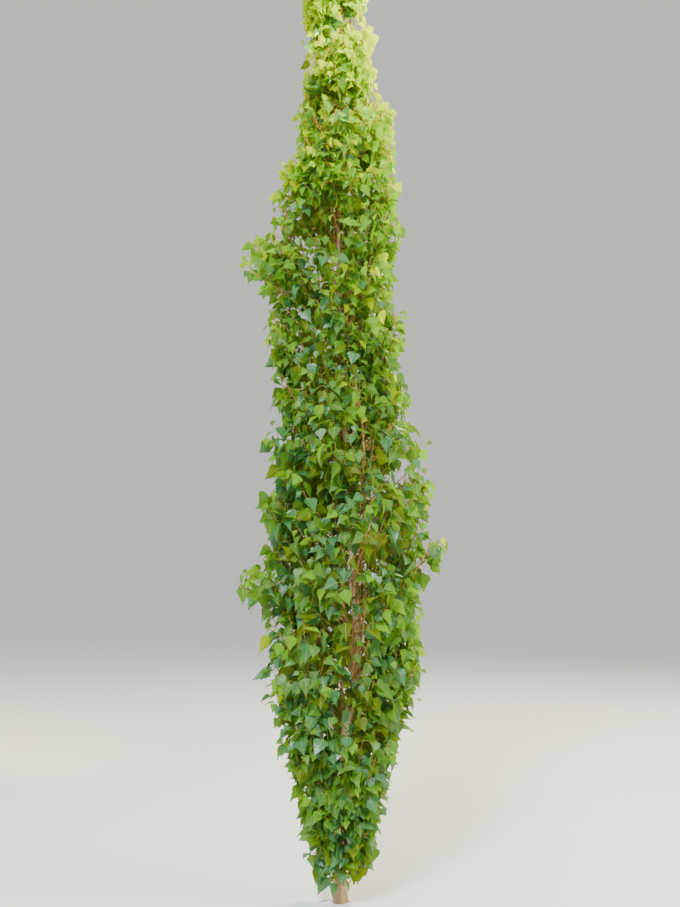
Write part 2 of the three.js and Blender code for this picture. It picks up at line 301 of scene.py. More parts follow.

# Where the photograph shows lighter leaves than elsewhere at that height, or darker ones
# Painted light and painted shade: at these places the leaves take paler tones where light falls on the crown
# and darker tones where shade falls on it.
PAINTED_LIGHT_AND_SHADE = table(
    PLACE,
    (3.05, -0.6, 0.40, 0.15, 0.8),
    (2.80, -2.0, -0.90, 0.14, 0.7),
    (2.72, RIGHT, 0.45, 0.22, 0.8),
    (2.52, LEFT, 0.85, 0.06, 0.6),
    (2.10, LEFT, 0.30, 0.25, 0.7),
    (2.00, RIGHT, 0.35, 0.50, 0.8),
    (1.70, FRONT, -0.30, 0.60, 0.6),
    (1.07, LEFT, 0.40, 0.08, 0.5),
    (0.90, RIGHT, 0.30, 0.30, 0.6),
)

# How much lighter young leaves are, and how much painted shade darkens the leaves well inside the crown
YOUNG_TONE = 0.45
INNER_PAINTED_SHADE = 0.9
INNER_PART = 0.8

# The masses whose leaves are joined into one piece
LEAF_GROUPS = {
    "leaves_foot": range(0, 4),
    "leaves_low": range(4, 8),
    "leaves_waist": range(8, 12),
    "leaves_middle": range(12, 16),
    "leaves_upper": range(16, 21),
    "leaves_top": range(21, LIMBS),
}

# What tells the sprays and leaves of a limb apart when they draw by chance
SIDE_TWIG_KEY = 0.01
SPRAY_LEAF_KEY = 7
LEAF_KEY = 1.37
SPUR_KEY = 50
STRAY_KEY = 130
STRAY_KEY_STEP = 20
SPROUT_KEY = 260
TIP_KEY = 400
LEAF_USES = 100
LEAF_USES_STEP = 10

# What is added to a direction that could come out as nothing
NUDGE = 1e-9

# The photograph's frame in pixels, and the camera's view of it
FRAME_HEIGHT = 907
FOCAL_PIXELS = 1150
SENSOR = 36
CAMERA_DISTANCE = 4.0
CAMERA_HEIGHT = 1.11
CAMERA_TILT = 5.785
CAMERA_SEES = 200


def chance(limb, twig, use):
    """A number from 0 to 1 that depends only on the limb, the twig and its use."""
    wave = math.sin(limb * 12.9898 + twig * 78.233 + use * 37.719) * 43758.5453
    return wave - math.floor(wave)


def between(span, share):
    return span[0] + (span[1] - span[0]) * share


def unit(vectors):
    return vectors / np.linalg.norm(vectors, axis=-1, keepdims=True)


def unit_across(along, other):
    """A direction square to both."""
    return unit(np.cross(along, other) + NUDGE)


def direction(turn, rise):
    flat = np.cos(rise)
    return np.stack([np.cos(turn) * flat, np.sin(turn) * flat, np.sin(rise)], axis=-1)


def bump(distance, spread):
    return np.exp(-((distance / spread) ** 2))


def trunk_centre(z):
    """The trunk's centre at one height or at many."""
    z = np.asarray(z, dtype=float)[..., None]
    level = np.array(TRUNK_LEAN) * z / TREE_HEIGHT
    for crook in CROOKS:
        level = level + np.array(crook["shift"]) * bump(z - crook["height"], crook["spread"])
    return np.concatenate([level, z], axis=-1)


def trunk_radius(z):
    share = np.maximum(0, 1 - np.asarray(z) / TREE_HEIGHT)
    return np.maximum(TRUNK_TIP_RADIUS, TRUNK_RADIUS * share**TRUNK_TAPER)


def flare_at(z, angle):
    ridges = 1 + FLARE["depth"] * np.cos(FLARE["ridges"] * angle)
    return FLARE["radius"] * np.exp(-z / FLARE["height"]) * ridges


def outline_at(z, column):
    """One column of the crown's outline at a height, smooth between its points."""
    heights = CROWN_OUTLINE[:, 0]
    k = np.clip(np.searchsorted(heights, z) - 1, 0, len(heights) - 2)
    share = np.clip((z - heights[k]) / (heights[k + 1] - heights[k]), 0, 1)
    share = share * share * (3 - 2 * share)
    low = CROWN_OUTLINE[k, column]
    return low + (CROWN_OUTLINE[k + 1, column] - low) * share


def with_places(radius, places, z, turn):
    """A radius with what each place adds to it near its own height and turn."""
    for place in places:
        away = np.arctan2(np.sin(turn - place["turn"]), np.cos(turn - place["turn"]))
        added = place["reach"] * bump(z - place["height"], place["tall"])
        radius = radius + added * bump(away, place["wide"])
    return radius


def outline_radius(z, turn):
    """The radius of the crown's even outline with its strays, as in the solids."""
    return with_places(outline_at(z, 1), STRAYS, z, turn)


def crown_radius(z, turn):
    """That radius with the crown's swellings and hollows."""
    radius = with_places(outline_radius(z, turn), FULLER, z, turn)
    for swelling in SWELLINGS:
        wave = np.sin(swelling["up"] * z + swelling["round"] * turn + swelling["shift"])
        radius = radius * (1 + swelling["size"] * wave)
    return radius


def from_axis(points):
    """How far points lie from the crown's own axis, and at which turn."""
    x = points[..., 0] - outline_at(points[..., 2], 2)
    return np.hypot(x, points[..., 1]), np.arctan2(points[..., 1], x)


class Limb:
    """A limb's centreline, which leaves the trunk's axis slanting out and bends up beside it."""

    def __init__(self, number):
        self.number = number
        self.has_bough = number in BOUGHS
        self.foot = between(LIMB_FEET, (number / (LIMBS - 1)) ** LIMB_CROWDING)
        self.turn = FIRST_TURN + number * GOLDEN_TURN + self.drawn(TURN_ERROR, 0, 1)
        self.twist = self.drawn(LIMB_TWIST, 0, 4)
        rise = self.drawn(LIMB_RISE, 0, 2)
        full = rise * outline_radius(self.foot + RISE_MEASURED_ABOVE, self.turn)
        self.rise = min(max(LEAST_RISE, full), TREE_HEIGHT - TIP_ROOM - self.foot)
        reach = self.drawn(LIMB_REACH, 0, 3)
        self.reach = reach * outline_radius(self.foot + self.rise * REACH_MEASURED_AT, self.turn)
        self.radius = max(THINNEST_LIMB, LIMB_RADIUS * trunk_radius(self.foot))
        self.start = BOUGH_SHARE if self.has_bough else 0
        self.line = self.at(np.linspace(0, 1, LIMB_STEPS + 1))

    def drawn(self, span, key, use):
        """What chance draws from a range for one key and use."""
        return between(span, chance(self.number, key, use))

    def at(self, share):
        share = np.asarray(share, dtype=float)
        z = self.foot + self.rise * share
        out = self.reach * (1 - np.maximum(0, 1 - share) ** LIMB_BEND)
        turn = self.turn + self.twist * share
        trunk = trunk_centre(z)
        straight = share * LIMB_STRAIGHTENING
        x = trunk[..., 0] + (outline_at(z, 2) - trunk[..., 0]) * straight + np.cos(turn) * out
        y = trunk[..., 1] * (1 - straight) + np.sin(turn) * out
        return np.stack([x, y, z], axis=-1)

    def radius_at(self, share):
        return TWIG_RADIUS + (self.radius - TWIG_RADIUS) * np.maximum(0, 1 - share) ** LIMB_TAPER


reach_low = np.array(solids_box[0][:2]) - BEYOND_SOLIDS
reach_high = np.array(solids_box[1][:2]) + BEYOND_SOLIDS
limbs = [Limb(number) for number in range(LIMBS)]
segment_from = np.concatenate([limb.line[:-1] for limb in limbs])
segment_run = np.concatenate([np.diff(limb.line, axis=0) for limb in limbs])
segment_size = np.sum(segment_run**2, axis=1)


def limb_distances(points):
    """The distance of each point to each limb."""
    offset = points[:, None, :] - segment_from[None]
    share = np.clip(np.sum(offset * segment_run, axis=2) / segment_size, 0, 1)
    nearest = np.linalg.norm(offset - share[..., None] * segment_run, axis=2)
    return nearest.reshape(len(points), LIMBS, LIMB_STEPS).min(axis=2)


def nearest_limb(point):
    return int(np.argmin(limb_distances(point[None])[0]))


def in_crown(points, fill=None):
    """Whether all points are clear of the trunk and inside the outline, or a share of the crown."""
    z = points[:, 2]
    out, turn = from_axis(points)
    trunk = trunk_centre(z)
    to_trunk = np.hypot(points[:, 0] - trunk[:, 0], points[:, 1] - trunk[:, 1])
    wood = np.where(z < TRUNK_HEIGHT, trunk_radius(z) + flare_at(z, 0) + WOOD_CLEAR, 0)
    limit = crown_radius(z, turn) * fill if fill else outline_radius(z, turn)
    inside = (z > LEAF_FOOT) & (z < TREE_HEIGHT) & (out < limit) & (to_trunk > wood)
    level = points[:, :2]
    near = (level > reach_low) & (level < reach_high)
    return bool(inside.all() and near.all())


def in_own_space(points, limb, gap):
    """Whether all points are nearer to their own limb than to any other, by a gap."""
    distances = limb_distances(points)
    mine = distances[:, limb.number].copy()
    distances[:, limb.number] = np.inf
    return bool((distances.min(axis=1) > mine + gap).all())


def run_to_outline(point, turn):
    """How far a level line runs from inside the crown to its outline."""
    out, foot_turn = from_axis(point)
    outward = out * math.cos(turn - foot_turn)
    inside = outward**2 + outline_radius(point[2], turn) ** 2 - out**2
    return max(0.0, math.sqrt(max(0.0, inside)) - outward)


class Twig:
    """A twig's line, where its leaves begin, and the share of the crown that it fills."""

    def __init__(self, limb, key, points, radii, turn, leafy_from, fill):
        self.limb = limb
        self.fill = fill
        self.key = key
        self.points = points
        self.radii = radii
        self.turn = turn
        self.leafy_from = leafy_from
        self.length = float(np.sum(np.linalg.norm(np.diff(points, axis=0), axis=1)))

    def at(self, share):
        place = share * (len(self.points) - 1)
        k = min(int(place), len(self.points) - 2)
        return self.points[k] + (self.points[k + 1] - self.points[k]) * (place - k)


def rising_line(root, turn, rise, run, steps):
    """A line that sets off at a rise, steepens, and ends a level run away."""
    rises = np.minimum(rise + TWIG_UPTURN * np.arange(steps) / (steps - 1), STEEPEST)
    length = run / np.mean(np.cos(rises))
    steps_along = direction(np.full(steps, turn), rises) * (length / steps)
    return np.concatenate([root[None], root + np.cumsum(steps_along, axis=0)])


def cut_spray(limb, key, root, turn, rise, run, fill, gap=None, foot_radius=TWIG_FOOT_RADIUS):
    """A spray cut back until it stays in the crown, and where there is a gap in its limb's own space.

    With no fill it keeps to the crown's even outline.
    """
    for cut in TWIG_CUTS:
        points = rising_line(root, turn, rise, run * cut, TWIG_STEPS)
        if in_crown(points[2:], fill) and (gap is None or in_own_space(points[2:], limb, gap)):
            radii = np.linspace(foot_radius, TWIG_END_RADIUS, len(points))
            return Twig(limb, key, points, radii, turn, SPRAY_LEAFY_FROM, fill or 1.0)
    return None


def spray_of(limb, number, side):
    """A limb's own spray, as in the solids where its number is a whole one."""
    share = limb.start + (1 - limb.start) * (number + FIRST_TWIG) / (TWIGS + FIRST_TWIG)
    root = limb.at(share)
    turn = from_axis(root)[1] + side * limb.drawn(TWIG_TURN, number, 5)
    rise = limb.drawn(TWIG_RISE, number, 6)
    run = run_to_outline(root, turn) * limb.drawn(TWIG_REACH, number, 7)
    foot_radius = min(TWIG_FOOT_RADIUS, float(limb.radius_at(share)) * TWIG_FOOT_SHARE)
    is_own = number == round(number) and number >= 0
    fill = None if is_own else limb.drawn(RAGGED, number, 16)
    gap = OWN_SPACE if is_own else SHARED_SPACE
    return cut_spray(limb, number, root, turn, rise, run, fill, gap, foot_radius)


def side_twigs_of(spray):
    for k, place in enumerate(SIDE_TWIG_PLACES):
        key = spray.key + (k + 1) * SIDE_TWIG_KEY
        share = spray.limb.drawn(SIDE_TWIG_LENGTH, key, 8) * (SIDE_TWIG_SHORTENING - place)
        if spray.length * share < SIDE_TWIG_LEAST:
            continue
        side = 1 if k % 2 else -1
        turn = spray.turn + side * spray.limb.drawn(SIDE_TWIG_TURN, key, 9)
        rise = spray.limb.drawn(TWIG_RISE, key, 10)
        run = spray.length * share * math.cos(rise)
        points = rising_line(spray.at(place), turn, rise, run, SIDE_TWIG_STEPS)
        if in_crown(points[1:], spray.fill) and in_own_space(points[1:], spray.limb, SHARED_SPACE):
            foot, end = SIDE_TWIG_RADII
            radii = np.linspace(TWIG_END_RADIUS * foot, TWIG_END_RADIUS * end, len(points))
            yield Twig(spray.limb, key, points, radii, turn, SIDE_TWIG_LEAFY_FROM, spray.fill)


def size_at(z):
    """How large leaves are at a height, against those at the foot."""
    return float(np.interp(z, LEAF_SIZE_HEIGHTS, LEAF_SIZES))


class Leaf:
    """A leaf's place: where its stalk leaves the twig, and how its blade hangs."""

    def __init__(self, root, turn, size, tucked, draw):
        self.root = root
        self.length = size * size_at(root[2]) * between(LEAF_LENGTH, draw(3) ** SMALL_LEAVES)
        droop = between(LEAF_DROOP, tucked + (1 - tucked) * draw(1))
        roll = (draw(2) - 0.5) * 2 * LEAF_ROLL
        lean = turn + (draw(0) - 0.5) * 2 * LEAF_SWING
        self.ahead = direction(lean, -droop)
        level = direction(lean + math.pi / 2, 0.0)
        face = direction(lean, math.pi / 2 - droop)
        self.face = face * math.cos(roll) + level * math.sin(roll)
        self.side = np.cross(self.ahead, self.face)
        self.set_off = direction(turn, STALK_RISE)
        stalk = between(STALK_LENGTH, draw(4))
        self.base = root + self.set_off * stalk * STALK_OUT + self.ahead * stalk * STALK_DOWN
        self.form = int(draw(5) * LEAF_FORMS)
        self.tone = 0

    def samples(self):
        half = self.length * LEAF_WIDTH / 2
        middle = self.base + self.ahead * self.length * BLADE_WIDEST
        tip = self.base + self.ahead * self.length
        return np.array([middle + self.side * half, middle - self.side * half, tip])


def tone_at(z, draw):
    shares = [np.interp(z, TONE_SHARES[:, 0], TONE_SHARES[:, k + 1]) for k in range(len(TONES))]
    return int(np.searchsorted(np.cumsum(shares), min(max(draw, 0), HIGHEST_DRAW) * sum(shares)))


def tone_of(limb, twig_key, leaf_key, root, youth):
    """A leaf mostly takes its spray's tone. Young leaves are lighter. Leaves deep inside the crown are
    darker, as painted shade, and some places round the crown paint their leaves paler, as painted light, and
    others darker, as painted shade.
    """
    keeps = chance(limb.number, leaf_key, 13) < SPRAY_TONE_SHARE
    draw = chance(limb.number, twig_key if keeps else leaf_key, 11)
    out, turn = from_axis(root)
    # Painted shade deep inside the crown, and painted light and shade by place, shift the draw towards the
    # darker or the paler tones.
    painted_shade_inside = max(0.0, INNER_PART - float(out / crown_radius(root[2], turn)))
    lighter = float(with_places(0.0, PAINTED_LIGHT_AND_SHADE, root[2], turn))
    return tone_at(root[2], draw * (1 - lighter) * (1 - YOUNG_TONE * youth) + INNER_PAINTED_SHADE * painted_shade_inside)


def is_open(point, draw):
    """Whether a leaf here is left out, for light between the leaves or a view of the trunk."""
    x, y, z = point
    for (left, right), (low, high), kept, only_before_trunk in OPENINGS:
        if left < x < right and low < z < high and draw > kept:
            if not only_before_trunk or y < trunk_centre(z)[1]:
                return True
    return False


def hung_leaf(limb, key, root, turn, size, fill, tone_key, youth):
    """The first try at a leaf that stays inside the crown, if any. Each try hangs down more."""
    for attempt in range(LEAF_TRIES):
        uses = LEAF_USES + LEAF_USES_STEP * attempt
        leaf = Leaf(root, turn, size, attempt / LEAF_TRIES, lambda use: chance(limb.number, key, uses + use))
        if in_crown(leaf.samples(), fill):
            leaf.tone = tone_of(limb, tone_key, key, root, youth)
            middle = leaf.base + leaf.ahead * leaf.length * BLADE_MIDDLE
            return None if is_open(middle, chance(limb.number, key, 15)) else leaf
    return None


def leaves_on(twig):
    """Leaves along a twig, in turn on either side, from its tip back."""
    stretch = twig.length * (1 - twig.leafy_from)
    count = max(1, round(stretch / (LEAF_SPACING * size_at(twig.points[-1][2]))))
    for n in range(count):
        root = twig.at(1 - (1 - twig.leafy_from) * n / count)
        key = twig.key * SPRAY_LEAF_KEY + n * LEAF_KEY
        side = 0 if n == 0 else (1 if n % 2 else -1)
        turn = twig.turn + side * (math.pi / 2 - LEAF_SIDE_TURN)
        youth = max(0.0, 1 - n / YOUNG_LEAVES)
        size = twig.limb.drawn(YOUNG_SIZE, key, 14) if n == 0 else 1.0
        yield hung_leaf(twig.limb, key, root, turn, size, twig.fill + LEAF_FILL, twig.key, youth)


def spur_leaf(limb, first_key, n, root, turn, fill, youth):
    """The leaf on one of a row of short spurs, whose tone goes by runs along the row."""
    return hung_leaf(limb, first_key + n * LEAF_KEY, root, turn, 1.0, fill, first_key + n // TONE_RUN, youth)


def spur_leaves_on(limb):
    """Leaves on short spurs all the way up a limb and round it."""
    count = round(limb.rise * (1 - SPUR_FROM) / SPUR_SPACING)
    for n in range(count):
        root = limb.at(1 - (1 - SPUR_FROM) * n / count)
        turn = limb.turn + n * GOLDEN_TURN
        yield spur_leaf(limb, SPUR_KEY, n, root, turn, 1.0, 1.0 if n == 0 else 0.0)


def tip_leaves_of(limb):
    """Leaves on short spurs round the trunk's tip, which go with the highest limb."""
    for n in range(TIP_LEAVES):
        root = trunk_centre(between(TIP_LEAVES_BETWEEN, n / (TIP_LEAVES - 1)))
        yield spur_leaf(limb, TIP_KEY, n, root, n * GOLDEN_TURN, TIP_LEAF_FILL, TIP_YOUTH)


def stray_sprays_of(limb):
    """The sprays that this limb, as the nearest, sends out into the strays of the outline."""
    line = limb.at(np.linspace(limb.start, 1, STRAY_ROOTS))
    for k, stray in enumerate(STRAYS):
        for n in range(stray["sprays"]):
            turn = stray["turn"] + stray["wide"] * between(STRAY_SPREAD, chance(k, n, 31))
            z = stray["height"] + stray["tall"] * between(STRAY_HEIGHTS, chance(k, n, 32))
            middle = np.array([outline_at(z, 2), 0.0, z])
            out = direction(turn, 0.0) * crown_radius(z, turn) * between(STRAY_RUN, chance(k, n, 34))
            aim = middle + out * STRAY_ROOT_OUT - np.array([0.0, 0.0, STRAY_ROOT_BELOW])
            if nearest_limb(aim) != limb.number:
                continue
            root = line[np.argmin(np.linalg.norm(line - aim, axis=1))]
            way = middle + out - root
            run = float(np.hypot(way[0], way[1]))
            rise = math.atan2(way[2], run) - TWIG_UPTURN / 2
            heading = math.atan2(way[1], way[0])
            key = STRAY_KEY + STRAY_KEY_STEP * k + n
            yield cut_spray(limb, key, root, heading, rise, run, fill=1.0)


def sprouts_near(limb):
    """The trunk's own shoots that stand nearest to this limb."""
    for n in range(SPROUTS):
        z = between(SPROUT_HEIGHTS, (n / (SPROUTS - 1)) ** SPROUT_CROWDING)
        turn = n * GOLDEN_TURN + chance(n, 0, 21)
        root = trunk_centre(z) + direction(turn, 0.0) * trunk_radius(z)
        if nearest_limb(root) != limb.number:
            continue
        rise = between(TWIG_RISE, chance(n, 1, 21))
        run = run_to_outline(root, turn) * between(TWIG_REACH, chance(n, 2, 21))
        fill = between(RAGGED, chance(n, 3, 21))
        yield cut_spray(limb, SPROUT_KEY + n, root, turn, rise, run, fill)


def sprays_of(limb):
    """The sprays that a limb carries: the solids' own, and finer ones between them."""
    lowest = LOWEST_ON_BOUGH if limb.has_bough else LOWEST_ON_STEM
    per_twig = MORE_SPRAYS.get(limb.number, SPRAYS_PER_TWIG)
    for k in range(math.ceil(lowest * per_twig), TWIGS * per_twig):
        number = k / per_twig
        is_own = k % per_twig == 0
        side = 1 if (number if is_own else k) % 2 else -1
        yield spray_of(limb, number, side)


class Mass:
    """What replaces one mass of the solids: its twigs and leaves."""

    def __init__(self, limb):
        self.limb = limb
        self.twigs = []
        for spray in [*sprays_of(limb), *sprouts_near(limb), *stray_sprays_of(limb)]:
            if spray:
                self.twigs += [spray, *side_twigs_of(spray)]
        leaves = list(spur_leaves_on(limb))
        if limb.number == LIMBS - 1:
            leaves += tip_leaves_of(limb)
        for twig in self.twigs:
            leaves += leaves_on(twig)
        self.leaves = [leaf for leaf in leaves if leaf]


def shown(name, data):
    """A new object that holds this data, in the scene."""
    obj = bpy.data.objects.new(name, data)
    bpy.context.scene.collection.objects.link(obj)
    return obj


def angles_round(sides):
    return np.arange(sides) * 2 * math.pi / sides


class Surface:
    """Collects vertices, faces, finishes and surface coordinates for one joined mesh."""

    def __init__(self):
        self.vertices = []
        self.faces = []
        self.finishes = []
        self.coordinates = []
        self.count = 0

    def add(self, vertices, *face_sets):
        """Each set is (faces, one finish or one for each face, coordinates of every corner)."""
        for faces, finish, coordinates in face_sets:
            self.faces.append(faces + self.count)
            self.finishes.append(np.broadcast_to(finish, len(faces)))
            self.coordinates.append(coordinates)
        self.vertices.append(vertices)
        self.count += len(vertices)

    def piece(self, name, finishes, replaced=()):
        mesh = bpy.data.meshes.new(name)
        vertices = np.concatenate(self.vertices)
        sizes = np.concatenate([np.full(len(f), f.shape[1]) for f in self.faces])
        corners = np.concatenate([f.ravel() for f in self.faces])
        mesh.vertices.add(len(vertices))
        mesh.vertices.foreach_set("co", vertices.ravel())
        mesh.loops.add(len(corners))
        mesh.loops.foreach_set("vertex_index", corners)
        mesh.polygons.add(len(sizes))
        mesh.polygons.foreach_set("loop_start", np.concatenate([[0], np.cumsum(sizes)[:-1]]))
        mesh.polygons.foreach_set("loop_total", sizes)
        mesh.polygons.foreach_set("material_index", np.concatenate(self.finishes))
        mesh.polygons.foreach_set("use_smooth", np.ones(len(sizes), dtype=bool))
        layer = mesh.uv_layers.new(name="along")
        layer.data.foreach_set("uv", np.concatenate([c.reshape(-1) for c in self.coordinates]))
        mesh.update(calc_edges=True)
        mesh.validate()
        for finish in finishes:
            mesh.materials.append(finish)
        obj = shown(name, mesh)
        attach(obj, "root")
        if replaced:
            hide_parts(*replaced)
        return obj


def grid_faces(rings, sides):
    """The quads of a tube's skin, ring by ring."""
    ring = np.arange(rings - 1)[:, None] * sides
    here = np.arange(sides)[None]
    after = (here + 1) % sides
    quads = np.stack([ring + here, ring + after, ring + sides + after, ring + sides + here], axis=-1)
    return quads.reshape(-1, 4)


def grid_coordinates(lengths, sides):
    """The corners of those quads as (share of the way round, length along)."""
    low = np.repeat(lengths[:-1], sides)
    high = np.repeat(lengths[1:], sides)
    left = np.tile(np.arange(sides) / sides, len(lengths) - 1)
    right = left + 1 / sides
    corners = [(left, low), (right, low), (right, high), (left, high)]
    return np.stack([np.stack(corner, axis=-1) for corner in corners], axis=1)


def end_faces(rings, sides):
    """The triangles that close a tube's ends, whose middles are its last two vertices."""
    here = np.arange(sides)
    after = (here + 1) % sides
    last = (rings - 1) * sides
    middle = rings * sides
    foot = np.stack([after, here, np.full(sides, middle)], axis=-1)
    tip = np.stack([last + here, last + after, np.full(sides, middle + 1)], axis=-1)
    return np.concatenate([foot, tip])


def add_skin(surface, skin, foot, tip, lengths):
    """A closed tube from its rings of points and the middles of its ends."""
    rings, sides = skin.shape[:2]
    vertices = np.concatenate([skin.reshape(-1, 3), foot[None], tip[None]])
    ends = end_faces(rings, sides)
    surface.add(
        vertices,
        (grid_faces(rings, sides), 0, grid_coordinates(lengths, sides)),
        (ends, 0, np.zeros((len(ends), 3, 2))),
    )


def ring_round(across, deep, angles):
    return across[..., None, :] * np.cos(angles)[:, None] + deep[..., None, :] * np.sin(angles)[:, None]


def over_skin(lengths, angles, relief):
    """What relief(length, angle) gives at every point of a skin."""
    return np.array([[relief(length, angle) for angle in angles] for length in lengths])


def add_tube(surface, points, radii, sides, relief=None):
    """A closed tapering tube along a line, its skin moved out by a relief."""
    along = unit(np.gradient(points, axis=0))
    across = unit_across(along, (0.0, 1.0, 0.0))
    for k in range(1, len(points)):
        kept = across[k - 1] - along[k] * np.dot(across[k - 1], along[k])
        across[k] = kept / np.linalg.norm(kept)
    deep = np.cross(along, across)
    angles = angles_round(sides)
    lengths = np.concatenate([[0], np.cumsum(np.linalg.norm(np.diff(points, axis=0), axis=1))])
    out = np.repeat(np.asarray(radii)[:, None], sides, axis=1)
    if relief:
        out = out + over_skin(lengths, angles, relief)
    skin = points[:, None] + ring_round(across, deep, angles) * out[..., None]
    add_skin(surface, skin, points[0], points[-1], lengths)


# Finishes. A cloud has a squeeze along the wood, a scale and a detail, and its edges say where it
# starts to show and where it shows in full
CLOUD_ROUGHNESS = 0.55
BARK_BANDS = (2.6, 26.0, 5.0)
BARK_PATCHES = (0.45, 38.0, 3.0)
BARK_GRAIN = (0.3, 420.0, 3.0)
MARK_SQUEEZE = 7.0
MARK_DETAIL = 2.0
BAND_EDGES = (0.35, 0.65)
PATCH_EDGES = (0.50, 0.64)
MARK_EDGES = (0.60, 0.66)
VEIN_EDGES = (0.0, 0.14)
PATCH_DARKNESS = 0.55
MARK_DARKNESS = 0.75
GRAIN_ROUGHNESS = 0.18
MARK_ROUGHNESS = 0.12
BAND_HEIGHT = 0.5
GRAIN_HEIGHT = 0.35
MARK_HEIGHT = 0.5
PATCH_HOLLOW = 0.4
BARK_DEPTH = 0.0012
BARK_GLOSS = 0.35
LEAF_SKIN_SCALE = 900.0
VEIN_HEIGHT = 0.7
SKIN_HEIGHT = 0.3
LEAF_DEPTH = 0.0004
LEAF_RELIEF = 0.6
YOUNG_SKIN_SCALE = 700.0
YOUNG_DEPTH = 0.0003
YOUNG_GLOSS = 0.4
SKIN_DETAIL = 2.0
SKIN_ROUGHNESS = 0.2


class Signal:
    """A number that varies over a surface. Arithmetic on it adds Math nodes."""

    def __init__(self, finish, socket):
        self.finish = finish
        self.socket = socket

    def maths(self, operation, *values):
        return self.finish.add("ShaderNodeMath", {"operation": operation}, dict(enumerate(values)))

    def __add__(self, other):
        return self.maths("ADD", self, other)

    __radd__ = __add__

    def __sub__(self, other):
        return self.maths("SUBTRACT", self, other)

    def __rsub__(self, other):
        return self.maths("SUBTRACT", other, self)

    def __mul__(self, other):
        return self.maths("MULTIPLY", self, other)

    __rmul__ = __mul__

    def __abs__(self):
        return self.maths("ABSOLUTE", self)


class Finish:
    """A material being made, and the one method that adds a node to it."""

    def __init__(self, name):
        self.material = bpy.data.materials.new(name)
        self.material.use_nodes = True
        self.tree = self.material.node_tree
        self.tree.nodes.clear()

    def add(self, kind, settings=None, sockets=None, output=0):
        node = self.tree.nodes.new(kind)
        for key, value in (settings or {}).items():
            setattr(node, key, value)
        for key, value in (sockets or {}).items():
            if isinstance(value, Signal):
                self.tree.links.new(value.socket, node.inputs[key])
            else:
                node.inputs[key].default_value = value
        return Signal(self, node.outputs[output]) if len(node.outputs) else None

    def place(self):
        """A point's place on the part, in metres."""
        return self.add("ShaderNodeTexCoord", output="Object")

    def axis_of(self, vector, axis):
        return self.add("ShaderNodeSeparateXYZ", {}, {0: vector}, output=axis)

    def cloud(self, vector, scale, detail):
        sockets = {"Vector": vector, "Scale": scale, "Detail": detail, "Roughness": CLOUD_ROUGHNESS}
        return self.add("ShaderNodeTexNoise", {}, sockets)

    def squeezed_cloud(self, squeeze, scale, detail):
        """A cloud squeezed along Z, or drawn out where the squeeze is under 1."""
        sockets = {0: self.place(), 1: (1.0, 1.0, squeeze)}
        where = self.add("ShaderNodeVectorMath", {"operation": "MULTIPLY"}, sockets)
        return self.cloud(where, scale, detail)

    def ramp(self, signal, low, high):
        """0 below low, 1 above high, smooth between."""
        settings = {"interpolation_type": "SMOOTHSTEP"}
        sockets = {"Value": signal, "From Min": low, "From Max": high}
        return self.add("ShaderNodeMapRange", settings, sockets)

    def mixed(self, factor, first, second):
        """A colour mixed from two colours."""
        settings = {"data_type": "RGBA"}
        return self.add("ShaderNodeMix", settings, {0: factor, 6: first, 7: second}, output=2)

    def relief(self, height, distance, strength=1.0):
        sockets = {"Height": height, "Distance": distance, "Strength": strength}
        return self.add("ShaderNodeBump", {}, sockets)

    def opaque(self, colour, rough, normal, gloss):
        sockets = {"Base Color": colour, "Roughness": rough, "Normal": normal, "Specular IOR Level": gloss}
        return self.add("ShaderNodeBsdfPrincipled", {}, sockets)

    def surface(self, shader):
        self.add("ShaderNodeOutputMaterial", {}, {"Surface": shader})
        return self.material


def bark_finish(name, colours, mark_scale, shine, changes=()):
    """Bark in bands round the wood, with darker marks across it. colours is (pale, warm, dark).

    Each of changes is (height, height, share, colour): how much of that colour comes in between them.
    """
    finish = Finish(name)
    pale, warm, dark = colours
    bands = finish.squeezed_cloud(*BARK_BANDS)
    patches = finish.squeezed_cloud(*BARK_PATCHES)
    marks = finish.squeezed_cloud(MARK_SQUEEZE, mark_scale, MARK_DETAIL)
    grain = finish.squeezed_cloud(*BARK_GRAIN)
    mark = finish.ramp(marks, *MARK_EDGES)
    patch = finish.ramp(patches, *PATCH_EDGES)
    colour = finish.mixed(finish.ramp(bands, *BAND_EDGES), pale, warm)
    height_up = finish.axis_of(finish.place(), 2)
    for none_at, full_at, share, other in changes:
        colour = finish.mixed(finish.ramp(height_up, none_at, full_at) * share, colour, other)
    colour = finish.mixed(patch * PATCH_DARKNESS, colour, dark)
    colour = finish.mixed(mark * MARK_DARKNESS, colour, dark)
    rough = shine + GRAIN_ROUGHNESS * grain + MARK_ROUGHNESS * mark
    height = BAND_HEIGHT * bands + GRAIN_HEIGHT * grain + MARK_HEIGHT * mark - PATCH_HOLLOW * patch
    return finish.surface(finish.opaque(colour, rough, finish.relief(height, BARK_DEPTH), BARK_GLOSS))


def leaf_finish(name, colour, glow, shine, gloss, through):
    """A leaf of one plain colour that lets some light through, with side veins and a fine skin."""
    finish = Finish(name)
    where = finish.add("ShaderNodeUVMap", {"uv_map": "along"})
    across = finish.axis_of(where, 0)
    along = finish.axis_of(where, 1)
    phase = (along - VEIN_SLANT * abs(across)) * (LEAF_ROWS / 2)
    vein = finish.add("ShaderNodeMath", {"operation": "PINGPONG"}, {0: phase, 1: 0.5})
    skin = finish.cloud(finish.place(), LEAF_SKIN_SCALE, SKIN_DETAIL)
    height = VEIN_HEIGHT * finish.ramp(vein, *VEIN_EDGES) + SKIN_HEIGHT * skin
    normal = finish.relief(height, LEAF_DEPTH, LEAF_RELIEF)
    front = finish.opaque(colour, shine + SKIN_ROUGHNESS * skin, normal, gloss)
    behind = finish.add("ShaderNodeBsdfTranslucent", {}, {"Color": glow, "Normal": normal})
    return finish.surface(finish.add("ShaderNodeMixShader", {}, {0: through, 1: front, 2: behind}))


